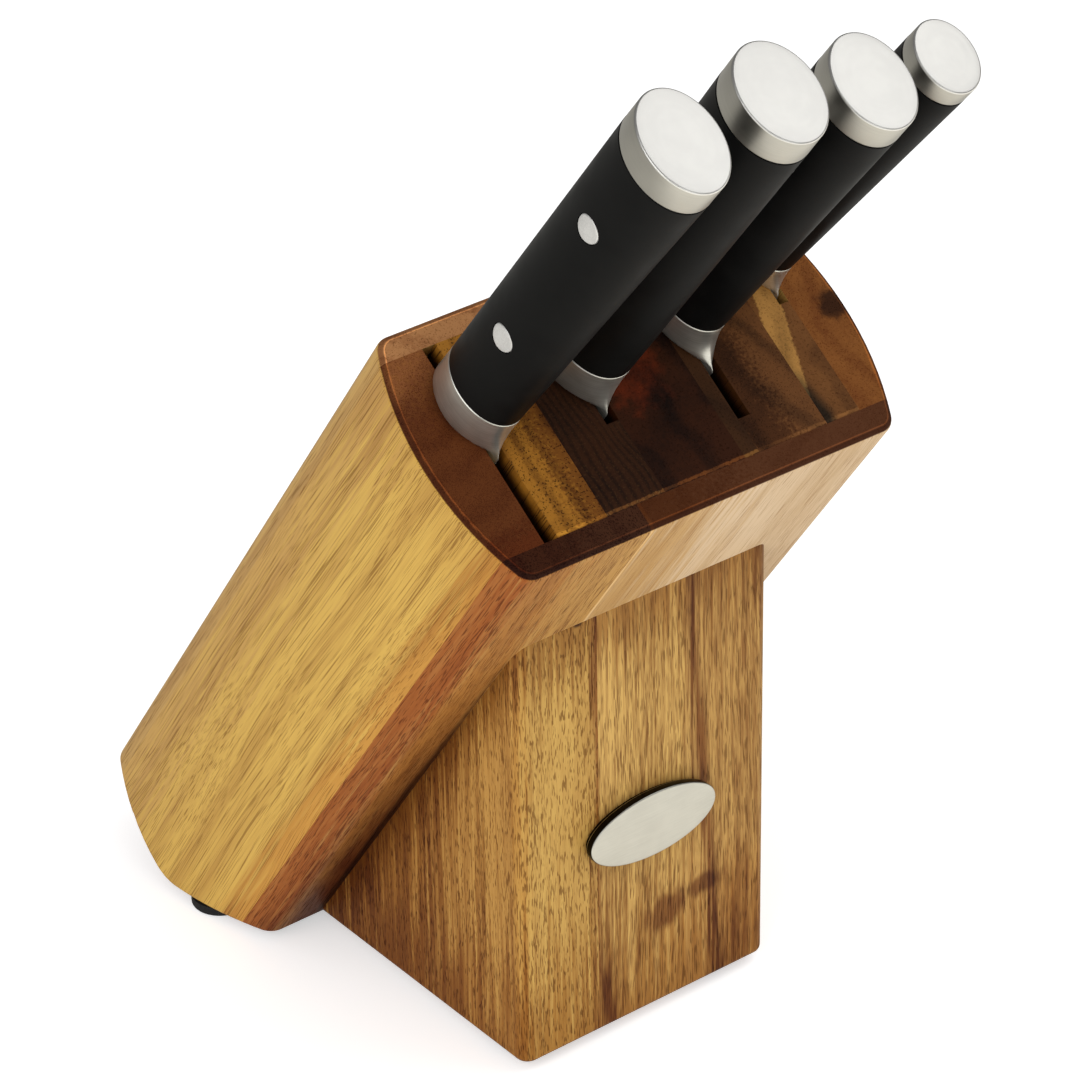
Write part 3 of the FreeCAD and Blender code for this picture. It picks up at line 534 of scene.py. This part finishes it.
def brushed_group():
    """Fine brushing lines that run round or across a piece, with a cloudy satin polish."""
    group, given, made = new_group("brushed", [
        ("Place", "Vector", (0.0, 0.0, 0.0)),
        ("Line Size", "Vector", (0.02, 0.02, 0.00012)),
        ("Light", "Color", (0.62, 0.61, 0.57, 1.0)),
        ("Dark", "Color", (0.50, 0.49, 0.46, 1.0)),
        ("Roughness", "Float", 0.32),
        ("Spread", "Float", 0.12),
    ], [("Color", "Color"), ("Roughness", "Float"), ("Height", "Float")])
    lines = noise(group, vector(group, "DIVIDE", given["Place"], given["Line Size"]), 3.0, 0.6)
    cloud = noise(group, stretched(group, given["Place"], 0.006, 0.006), 2.0)
    shade = maths(group, "ADD", maths(group, "MULTIPLY", lines, 0.6), maths(group, "MULTIPLY", cloud, 0.4))
    group.links.new(mix(group, ramp(group, shade, 0.35, 0.65), given["Dark"], given["Light"]), made["Color"])
    swing = maths(group, "MULTIPLY", maths(group, "SUBTRACT", shade, 0.5), given["Spread"])
    group.links.new(maths(group, "ADD", given["Roughness"], swing), made["Roughness"])
    group.links.new(lines, made["Height"])
    return group


BRUSHED = brushed_group()


def steel_material(name, home=(0.0, 0.0, 0.0), turn=0.0, depth=0.004, metallic=1.0, **values):
    """Satin or polished stainless steel with its brushing in the piece's own directions."""
    material, tree, shader = new_material(name, Metallic=metallic)
    outputs = place_group(tree, BRUSHED, own_place(tree, home, turn), **values)
    tree.links.new(outputs["Color"], shader.inputs["Base Color"])
    tree.links.new(outputs["Roughness"], shader.inputs["Roughness"])
    bump(tree, shader, outputs["Height"], depth * MM)
    return material


smooth_copy("feet", rubber_material())
dress("foot_screws", steel_material("screw_zinc", line_size=(0.0004, 0.0004, 0.003), roughness=0.38))

# ---------------------------------------------------------------------------------------------
# Badge
# A plain oval of steel with a satin face and a polished side wall, whose dark reflection of the wood
# is painted on, pinned to the post on a smaller dark plate that holds it off the wood.
# ---------------------------------------------------------------------------------------------
BADGE_EDGE = 0.45 * MM
BADGE_CROWN = 0.25 * MM
BACKING_EDGE = 0.1 * MM
PAINTED_WALL_REFLECTION = (0.012, 0.011, 0.010, 1.0)


def ring_stack(rings, sides=96):
    """A closed shell grown ring by ring from a circle.  Each ring is a function that turns the
    angle round it, which is 0 at the front (-Y) and positive towards +X, into a place."""
    bm = bmesh.new()
    bmesh.ops.create_circle(bm, cap_ends=True, segments=sides, radius=1.0)
    rim = bm.edges[:]
    for _ in rings[1:]:
        grown = bmesh.ops.extrude_edge_only(bm, edges=rim)["geom"]
        bmesh.ops.translate(bm, verts=[g for g in grown if isinstance(g, bmesh.types.BMVert)], vec=(0, 0, 1))
        top = {g for g in grown if isinstance(g, bmesh.types.BMVert)}
        rim = [g for g in grown if isinstance(g, bmesh.types.BMEdge) and set(g.verts) <= top]
    bmesh.ops.contextual_create(bm, geom=rim)
    for vert in bm.verts:
        vert.co = rings[round(vert.co.z)](atan2(vert.co.x, -vert.co.y))
    bmesh.ops.recalc_face_normals(bm, faces=bm.faces)
    return bm


def oval(height, half_x, half_y):
    """A level oval ring."""
    return lambda angle: Vector((half_x * sin(angle), -half_y * cos(angle), height))


def rounded_plate(half_x, half_y, low, high, edge, crown=0.0, steps=5):
    """The rings of an oval plate with rounded rims and a slightly crowned top."""
    rings = []
    for step in range(steps):
        turn = pi / 2 * step / (steps - 1)
        inset = edge * (1 - sin(turn))
        rings.append(oval(low + edge * (1 - cos(turn)), half_x - inset, half_y - inset))
    for step in range(steps):
        turn = pi / 2 * step / (steps - 1)
        inset = edge * (1 - cos(turn))
        rings.append(oval(high - crown - edge * (1 - sin(turn)), half_x - inset, half_y - inset))
    for share in (0.86, 0.66, 0.42, 0.18):
        rings.append(oval(high - crown * share * share, (half_x - edge) * share, (half_y - edge) * share))
    return rings


def stand_badge(node, edge, crown):
    """An oval plate that lies against the post, facing the user."""
    low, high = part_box(node)
    half_x = (high.x - low.x) / 2
    half_z = (high.z - low.z) / 2
    bm = ring_stack(rounded_plate(half_x, half_z, 0.0, high.y - low.y, edge, crown), sides=128)
    centre = Vector(((low.x + high.x) / 2, high.y, (low.z + high.z) / 2))
    upright = Matrix.Translation(centre) @ Matrix.Rotation(pi / 2, 4, "X")
    bmesh.ops.transform(bm, matrix=upright, verts=bm.verts)
    smooth_faces(bm, radians(50))
    return bm


def badge_material():
    """A satin face, a polished side wall whose dark reflection of the wood is painted on as near black, and a
    bright hairline at its back rim.
    """
    material = steel_material("badge_steel", light=(0.54, 0.53, 0.475, 1.0), dark=(0.49, 0.48, 0.43, 1.0),
                              line_size=(0.012, 0.0001, 0.00022), roughness=0.30, spread=0.06)
    tree = material.node_tree
    shader = tree.nodes["Principled BSDF"]
    forward = facing_way(tree, (0.0, -1.0, 0.0))
    # Painted reflection: the side wall is painted near black.
    dark_wall_reflection = maths(tree, "MULTIPLY", ramp(tree, forward, 0.70, 0.40), ramp(tree, forward, -0.30, -0.14))
    satin = shader.inputs["Base Color"].links[0].from_socket
    tree.links.new(mix(tree, dark_wall_reflection, satin, PAINTED_WALL_REFLECTION), shader.inputs["Base Color"])
    return material


finish_piece("badge_plate_piece", stand_badge("badge_plate", BADGE_EDGE, BADGE_CROWN), badge_material(),
             "block", "badge_plate")
dark_steel = steel_material("badge_backing_steel", light=(0.02, 0.02, 0.02, 1.0),
                            dark=(0.012, 0.012, 0.012, 1.0), roughness=0.35)
finish_piece("badge_backing_piece", stand_badge("badge_backing", BACKING_EDGE, 0.0), dark_steel,
             "block", "badge_backing")
dress("badge_pins", dark_steel)

# ---------------------------------------------------------------------------------------------
# Knife blades
# Stainless blades ground from spine to edge, each with a flat tang that runs up its handle.
# They are satin along their sides, brushed from the spine down.
# ---------------------------------------------------------------------------------------------
KNIVES = ("chef", "slicing", "santoku", "paring")
COLLAR_SKIRT = 6.0 * MM


def knife_frame(knife):
    """A knife's own directions and sizes, read from its handle: its Z runs up the handle from
    the top of the collar, and its Y from the edge's side to the spine's."""
    slide = next(joint for joint in frame["joints"] if joint["name"] == knife + "_draw")
    axis = Vector(slide["axis"])
    own = {"knife": knife, "axis": axis, "turn": atan2(-axis.y, axis.z), "body": slide["child"]}
    mesh = frame["nodes"][knife + "_handle"].data
    heights = [vert.co.dot(axis) for vert in mesh.vertices]
    upright = Vector((0.0, axis.z, -axis.y))
    for name, level in (("collar", min(heights)), ("butt", max(heights))):
        rim = [vert.co for vert in mesh.vertices if abs(vert.co.dot(axis) - level) < 0.01 * MM]
        backs = [point.dot(upright) for point in rim]
        own[name + "_half_x"] = (max(p.x for p in rim) - min(p.x for p in rim)) / 2
        own[name + "_half_y"] = (max(backs) - min(backs)) / 2
        middle_x = (max(p.x for p in rim) + min(p.x for p in rim)) / 2
        own[name] = Vector((middle_x, 0.0, 0.0)) + upright * (max(backs) + min(backs)) / 2 + axis * level
    own["grip"] = max(heights) - min(heights)
    cap = [vert.co.dot(axis) for vert in frame["nodes"][knife + "_end_cap"].data.vertices]
    own["cap"] = max(cap) - min(cap)
    collar = frame["nodes"][knife + "_bolster"].data
    foot = min(vert.co.dot(axis) for vert in collar.vertices)
    skirt = [vert.co for vert in collar.vertices if vert.co.dot(axis) < foot + 0.01 * MM]
    own["collar_height"] = min(heights) - foot - COLLAR_SKIRT
    own["skirt_half_x"] = (max(p.x for p in skirt) - min(p.x for p in skirt)) / 2
    own["skirt_front"] = min((p - own["collar"]).dot(upright) for p in skirt)
    own["skirt_back"] = max((p - own["collar"]).dot(upright) for p in skirt)
    return own


def stand_knife_piece(bm, own):
    """Move a piece made about the knife's own axis to where the knife stands."""
    place = Matrix.Translation(own["collar"]) @ Matrix.Rotation(own["turn"], 4, "X")
    bmesh.ops.transform(bm, matrix=place, verts=bm.verts)
    return bm


knife_frames = [knife_frame(knife) for knife in KNIVES]
for own in knife_frames:
    blade_steel = steel_material(
        own["knife"] + "_blade_steel", tuple(own["collar"]), own["turn"], light=(0.66, 0.65, 0.63, 1.0),
        dark=(0.55, 0.54, 0.53, 1.0), line_size=(0.02, 0.03, 0.00015), roughness=0.26)
    smooth_copy(own["knife"] + "_blade", blade_steel, own["body"])

# ---------------------------------------------------------------------------------------------
# Bolsters
# Satin steel collars between blade and handle.  The oval collar closes in to the blade
# underneath, and sweeps forward and down at the front into a pointed beak in the slot.
# ---------------------------------------------------------------------------------------------
CHAMFER = 0.25 * MM
SKIRT_TOP = 0.3 * MM
# Height above the slot in millimetres, share of the full width, share of the beak, and point.
COLLAR_SWEEP = (
    (0.35, 0.30, 0.97, 2.4), (0.75, 0.62, 0.90, 2.3), (1.1, 0.80, 0.82, 2.2),
    (1.6, 0.90, 0.72, 2.0), (2.2, 0.945, 0.60, 1.8), (3.2, 0.96, 0.43, 1.55),
    (4.6, 0.97, 0.26, 1.32), (6.4, 0.98, 0.12, 1.15), (8.4, 0.99, 0.04, 1.05),
)


def collar_ring(own, height, width, reach, point):
    """An oval ring of the collar at a height above the slot.  Its width is a share of the
    collar's, reach is how much of the beak it has, and point narrows its front to a tip."""
    half_x = own["collar_half_x"] * width
    half_y = own["collar_half_y"]
    beak = -own["skirt_front"] - half_y

    def place(angle):
        front = cos(angle) > 0
        narrow = abs(sin(angle)) ** point if front else abs(sin(angle))
        x = half_x * narrow * (1 if angle > 0 else -1)
        tip = own["skirt_half_x"] * 0.8 * sin(angle)
        if front and abs(x) < abs(tip):
            x = tip
        y = -cos(angle) * (half_y + (beak * reach if front else 0.0))
        return Vector((x, y, height - own["collar_height"]))
    return place


def skirt_ring(own, height):
    """A ring of the flat skirt that hangs in the slot round the blade."""
    middle = (own["skirt_front"] + own["skirt_back"]) / 2
    half = (own["skirt_back"] - own["skirt_front"]) / 2

    def place(angle):
        across = own["skirt_half_x"] * sin(angle)
        return Vector((across, middle - half * cos(angle), height - own["collar_height"]))
    return place


def bolster(own):
    """The whole collar, from the skirt's foot in the slot up to the handle."""
    rings = [skirt_ring(own, -COLLAR_SKIRT), skirt_ring(own, -SKIRT_TOP)]
    for height, width, reach, point in COLLAR_SWEEP:
        rings.append(collar_ring(own, height * MM, width, reach, point))
    rings.append(collar_ring(own, own["collar_height"] - CHAMFER, 1.0, 0.0, 1.0))
    rings.append(oval(0.0, own["collar_half_x"] - CHAMFER, own["collar_half_y"] - CHAMFER))
    bm = ring_stack(rings)
    smooth_faces(bm, radians(40))
    return stand_knife_piece(bm, own)


for own in knife_frames:
    collar_steel = steel_material(
        own["knife"] + "_collar_steel", tuple(own["collar"]), own["turn"], metallic=0.88,
        light=(0.70, 0.69, 0.63, 1.0), dark=(0.56, 0.55, 0.49, 1.0), line_size=(0.03, 0.03, 0.0002),
        roughness=0.32)
    finish_piece(own["knife"] + "_bolster_piece", bolster(own), collar_steel,
                 own["body"], own["knife"] + "_bolster")

# ---------------------------------------------------------------------------------------------
# Handles
# Moulded black handles, oval and a little thicker towards the butt, drilled for the rivets and
# given a fine satin texture.
# ---------------------------------------------------------------------------------------------
RIVET_RADIUS = 3.8 * MM
RIVET_GAP = 0.18 * MM
HANDLE_ROWS = 40
BLACK = (0.0030, 0.0030, 0.0030, 1.0)
WORN_BLACK = (0.0045, 0.0045, 0.0043, 1.0)


def handle_half(own, height):
    """The handle's half sizes at a height above the collar."""
    share = height / own["grip"]
    half_x = own["collar_half_x"] + (own["butt_half_x"] - own["collar_half_x"]) * share
    half_y = own["collar_half_y"] + (own["butt_half_y"] - own["collar_half_y"]) * share
    return half_x, half_y


def rivet_heights(own):
    """The heights of the two rivets above the collar, from where the CAD pins lie."""
    mesh = frame["nodes"][own["knife"] + "_rivets"].data
    heights = [(vert.co - own["collar"]).dot(own["axis"]) for vert in mesh.vertices]
    return min(heights) + RIVET_RADIUS, max(heights) - RIVET_RADIUS


def drilled(piece, bits):
    """Cut a row of cylinders out of a piece, once and for all."""
    bm = bmesh.new()
    for centre, radius, reach in bits:
        place = Matrix.Translation(centre) @ Matrix.Rotation(pi / 2, 4, "Y")
        bmesh.ops.create_cone(bm, cap_ends=True, segments=48, radius1=radius, radius2=radius, depth=reach,
                              matrix=place)
    mesh = bpy.data.meshes.new("drill_bits")
    bm.to_mesh(mesh)
    bm.free()
    drill = bpy.data.objects.new("drill_bits", mesh)
    bpy.context.scene.collection.objects.link(drill)
    hole = piece.modifiers.new("drilled", "BOOLEAN")
    hole.operation = "DIFFERENCE"
    hole.solver = "EXACT"
    hole.object = drill
    evaluated = piece.evaluated_get(bpy.context.evaluated_depsgraph_get())
    cut_mesh = bpy.data.meshes.new_from_object(evaluated)
    piece.modifiers.remove(hole)
    bpy.data.objects.remove(drill)
    cut_mesh.name = piece.name
    piece.data = cut_mesh


def handle(own, material):
    """One handle: an oval that swells towards the butt, drilled for its rivets."""
    rings = [oval(0.0, own["collar_half_x"] - CHAMFER, own["collar_half_y"] - CHAMFER)]
    for row in range(HANDLE_ROWS + 1):
        height = CHAMFER + (own["grip"] - 2 * CHAMFER) * row / HANDLE_ROWS
        rings.append(oval(height, *handle_half(own, height)))
    rings.append(oval(own["grip"], own["butt_half_x"] - CHAMFER, own["butt_half_y"] - CHAMFER))
    bm = stand_knife_piece(ring_stack(rings), own)
    smooth_faces(bm)
    piece = finish_piece(own["knife"] + "_handle_piece", bm, material, own["body"], own["knife"] + "_handle")
    reach = 4 * own["butt_half_x"]
    drilled(piece, [(own["collar"] + own["axis"] * height, RIVET_RADIUS + RIVET_GAP, reach)
                    for height in rivet_heights(own)])
    even_normals(piece)


def handle_material():
    """Black moulded plastic with a fine satin grain and a slightly cloudy gloss."""
    material, tree, shader = new_material("handle_black", Specular_IOR_Level=0.07)
    place = own_place(tree)
    grain = noise(tree, stretched(tree, place, 0.0004, 0.0004), 2.0)
    cloud = noise(tree, stretched(tree, place, 0.012, 0.012), 2.0)
    tree.links.new(mix(tree, ramp(tree, cloud, 0.35, 0.65), BLACK, WORN_BLACK), shader.inputs["Base Color"])
    tree.links.new(ramp(tree, cloud, 0.3, 0.7, 0.40, 0.48), shader.inputs["Roughness"])
    bump(tree, shader, grain, 0.012 * MM)
    return material


black_plastic = handle_material()
for own in knife_frames:
    handle(own, black_plastic)

# ---------------------------------------------------------------------------------------------
# Rivets
# Satin steel rivets through handle and tang.  Their heads are ground to the handle's curve with
# a slight crown, and a hairline gap shows round each.
# ---------------------------------------------------------------------------------------------
RIVET_CROWN = 0.12 * MM
RIVET_EDGE = 0.08 * MM
RIVET_SEAT = 0.25 * MM
RIVET_DEPTH = 2.5 * MM


def rivet_heads(own):
    """Both ends of both rivets, as one mesh about the knife's own axis."""
    whole = bmesh.new()
    for height in rivet_heights(own):
        for side in (-1, 1):
            rings = [oval(low, RIVET_RADIUS, RIVET_RADIUS) for low in (-RIVET_DEPTH, -RIVET_SEAT)]
            for share in (0.97, 0.92, 0.75, 0.5, 0.25, 0.08):
                rise = RIVET_CROWN * (1 - share * share) - (RIVET_EDGE if share > 0.95 else 0.0)
                rings.append(oval(rise, RIVET_RADIUS * share, RIVET_RADIUS * share))
            bm = ring_stack(rings, sides=48)
            sideways = Matrix.Rotation(side * pi / 2, 3, "Y")
            bmesh.ops.rotate(bm, verts=bm.verts, cent=(0, 0, 0), matrix=sideways)
            for vert in bm.verts:
                half_x, half_y = handle_half(own, height + vert.co.z)
                vert.co.x += side * half_x * sqrt(1 - (vert.co.y / half_y) ** 2)
            bmesh.ops.translate(bm, verts=bm.verts, vec=(0, 0, height))
            mesh = bpy.data.meshes.new("rivet_head")
            bm.to_mesh(mesh)
            bm.free()
            whole.from_mesh(mesh)
            bpy.data.meshes.remove(mesh)
    smooth_faces(whole)
    return stand_knife_piece(whole, own)


rivet_steel = steel_material("rivet_steel", metallic=0.55, light=(0.74, 0.73, 0.70, 1.0),
                             dark=(0.60, 0.59, 0.565, 1.0), line_size=(0.004, 0.0003, 0.0003), roughness=0.40)
for own in knife_frames:
    finish_piece(own["knife"] + "_rivets_piece", rivet_heads(own), rivet_steel,
                 own["body"], own["knife"] + "_rivets")

# ---------------------------------------------------------------------------------------------
# End caps
# Satin steel caps that close the handles: an oval band with rolled rims and a pale, nearly flat
# end face, fixed over the tang's end. The band is painted greyer than the face as painted shade.
# ---------------------------------------------------------------------------------------------
CAP_CLEARANCE = 0.05 * MM
CAP_EDGE = 0.55 * MM
CAP_CROWN = 0.25 * MM
BAND_PAINTED_SHADE = (0.68, 0.67, 0.635)


def cap_material(own):
    """Satin steel brushed round the handle: a pale end face, and a band painted greyer as painted shade."""
    material = steel_material(
        own["knife"] + "_cap_steel", tuple(own["collar"]), own["turn"], light=(0.73, 0.72, 0.685, 1.0),
        dark=(0.66, 0.65, 0.62, 1.0), line_size=(0.03, 0.03, 0.0002), roughness=0.36)
    tree = material.node_tree
    shader = tree.nodes["Principled BSDF"]
    # Painted shade: the sides of the cap are tinted darker than its end face.
    band_shade = ramp(tree, facing_way(tree, tuple(own["axis"])), 0.45, 0.15)
    satin = shader.inputs["Base Color"].links[0].from_socket
    tree.links.new(tinted(tree, band_shade, satin, BAND_PAINTED_SHADE), shader.inputs["Base Color"])
    return material


for own in knife_frames:
    rings = rounded_plate(own["butt_half_x"], own["butt_half_y"] - CAP_CLEARANCE, own["grip"],
                          own["grip"] + own["cap"] - CAP_CLEARANCE, CAP_EDGE, CAP_CROWN, steps=6)
    bm = ring_stack(rings)
    smooth_faces(bm, radians(50))
    finish_piece(own["knife"] + "_end_cap_piece", stand_knife_piece(bm, own), cap_material(own),
                 own["body"], own["knife"] + "_end_cap")

# ---------------------------------------------------------------------------------------------
# Table top, lights and camera
# The object stands on a pale, faintly mottled table top that runs out into a white room, under
# a large soft box on the left, a second one over its right shoulder and a weak one in front.
# ---------------------------------------------------------------------------------------------
TABLE_HALF_SIZE = 6.0
TABLE_GLOW = 0.52
GREY_POOL = (0.42, 0.41, 0.38, 1.0)
PALE_POOL = (0.92, 0.90, 0.84, 1.0)


def table_material():
    """A pale top that glows a little towards white.  Steel sees it as a grey floor behind the
    object and a pale one before it."""
    material, tree, shader = new_material("pale_table", Roughness=0.7, Specular_IOR_Level=0.1)
    place = own_place(tree)
    mottle = noise(tree, stretched(tree, place, 0.35, 0.35), 3.0)
    shade = ramp(tree, mottle, 0.3, 0.7, 0.88, 0.92)
    pale = add_node(tree, "CombineColor", {"Red": shade, "Green": shade, "Blue": shade}).outputs["Color"]
    glossy = add_node(tree, "LightPath").outputs["Is Glossy Ray"]
    backward = add_node(tree, "SeparateXYZ", {"Vector": place}).outputs["Y"]
    pool = mix(tree, ramp(tree, backward, -0.02, -0.10), GREY_POOL, PALE_POOL)
    seen = mix(tree, glossy, pale, pool)
    tree.links.new(seen, shader.inputs["Base Color"])
    tree.links.new(seen, shader.inputs["Emission Color"])
    shader.inputs["Emission Strength"].default_value = TABLE_GLOW
    return material


bm = bmesh.new()
bmesh.ops.create_grid(bm, x_segments=8, y_segments=8, size=TABLE_HALF_SIZE)
table_mesh = bpy.data.meshes.new("table_top")
bm.to_mesh(table_mesh)
bm.free()
table_mesh.materials.append(table_material())
table_top = bpy.data.objects.new("table_top", table_mesh)
bpy.context.scene.collection.objects.link(table_top)

WHITE_SEEN = 1.0
WHITE_LIGHT = 0.62
WHITE_REFLECTED = 0.20
room = bpy.data.worlds.new("white_room")
room.use_nodes = True
walls = room.node_tree
path = add_node(walls, "LightPath")
seen = add_node(walls, "MapRange", {
    "Value": path.outputs["Is Camera Ray"], "To Min": WHITE_LIGHT, "To Max": WHITE_SEEN,
}).outputs["Result"]
strength = add_node(walls, "Mix", {0: path.outputs["Is Glossy Ray"], 2: seen, 3: WHITE_REFLECTED})
walls.links.new(strength.outputs[0], walls.nodes["Background"].inputs["Strength"])
walls.nodes["Background"].inputs["Color"].default_value = (1.0, 1.0, 1.0, 1.0)
bpy.context.scene.world = room
bpy.context.scene.view_settings.view_transform = "Standard"

object_middle = Vector((0.0, 0.0, (cad_box[0][2] + cad_box[1][2]) / 2))


def direction(azimuth, elevation):
    """The way from the object to a point at that azimuth (0 is -Y, 90 is +X) and elevation."""
    a = radians(azimuth)
    e = radians(elevation)
    return Vector((sin(a) * cos(e), -cos(a) * cos(e), sin(e)))


def soft_box(name, azimuth, elevation, distance, width, height, watts):
    """A rectangular soft box that faces the object's middle."""
    lamp = bpy.data.lights.new(name, "AREA")
    lamp.shape = "RECTANGLE"
    lamp.size = width
    lamp.size_y = height
    lamp.energy = watts
    holder = bpy.data.objects.new(name, lamp)
    holder.location = object_middle + direction(azimuth, elevation) * distance
    holder.rotation_mode = "QUATERNION"
    holder.rotation_quaternion = (-direction(azimuth, elevation)).to_track_quat("-Z", "Y")
    bpy.context.scene.collection.objects.link(holder)


soft_box("left_soft_box", -70, 28, 1.7, 1.3, 1.3, 9)
soft_box("right_soft_box", 56, 52, 1.5, 1.0, 1.0, 4.2)
soft_box("front_soft_box", -10, 20, 1.9, 1.0, 1.0, 4)

VIEW_AZIMUTH = -37.7
VIEW_ELEVATION = 31.33
VIEW_DISTANCE = 1.3088
VIEW_ROLL = radians(-1.016)
LENS_LENGTH = 163.9
SENSOR_WIDTH = 36.0
aim = Vector((0.67, 4.2, 131.4)) * MM
lens = bpy.data.cameras.new("camera")
lens.lens = LENS_LENGTH
lens.sensor_width = SENSOR_WIDTH
camera = bpy.data.objects.new("camera", lens)
camera.rotation_mode = "QUATERNION"
camera.location = aim + direction(VIEW_AZIMUTH, VIEW_ELEVATION) * VIEW_DISTANCE
level_turn = (-direction(VIEW_AZIMUTH, VIEW_ELEVATION)).to_track_quat("-Z", "Y")
camera.rotation_quaternion = level_turn @ Quaternion((0.0, 0.0, 1.0), VIEW_ROLL)
bpy.context.scene.collection.objects.link(camera)
bpy.context.scene.camera = camera
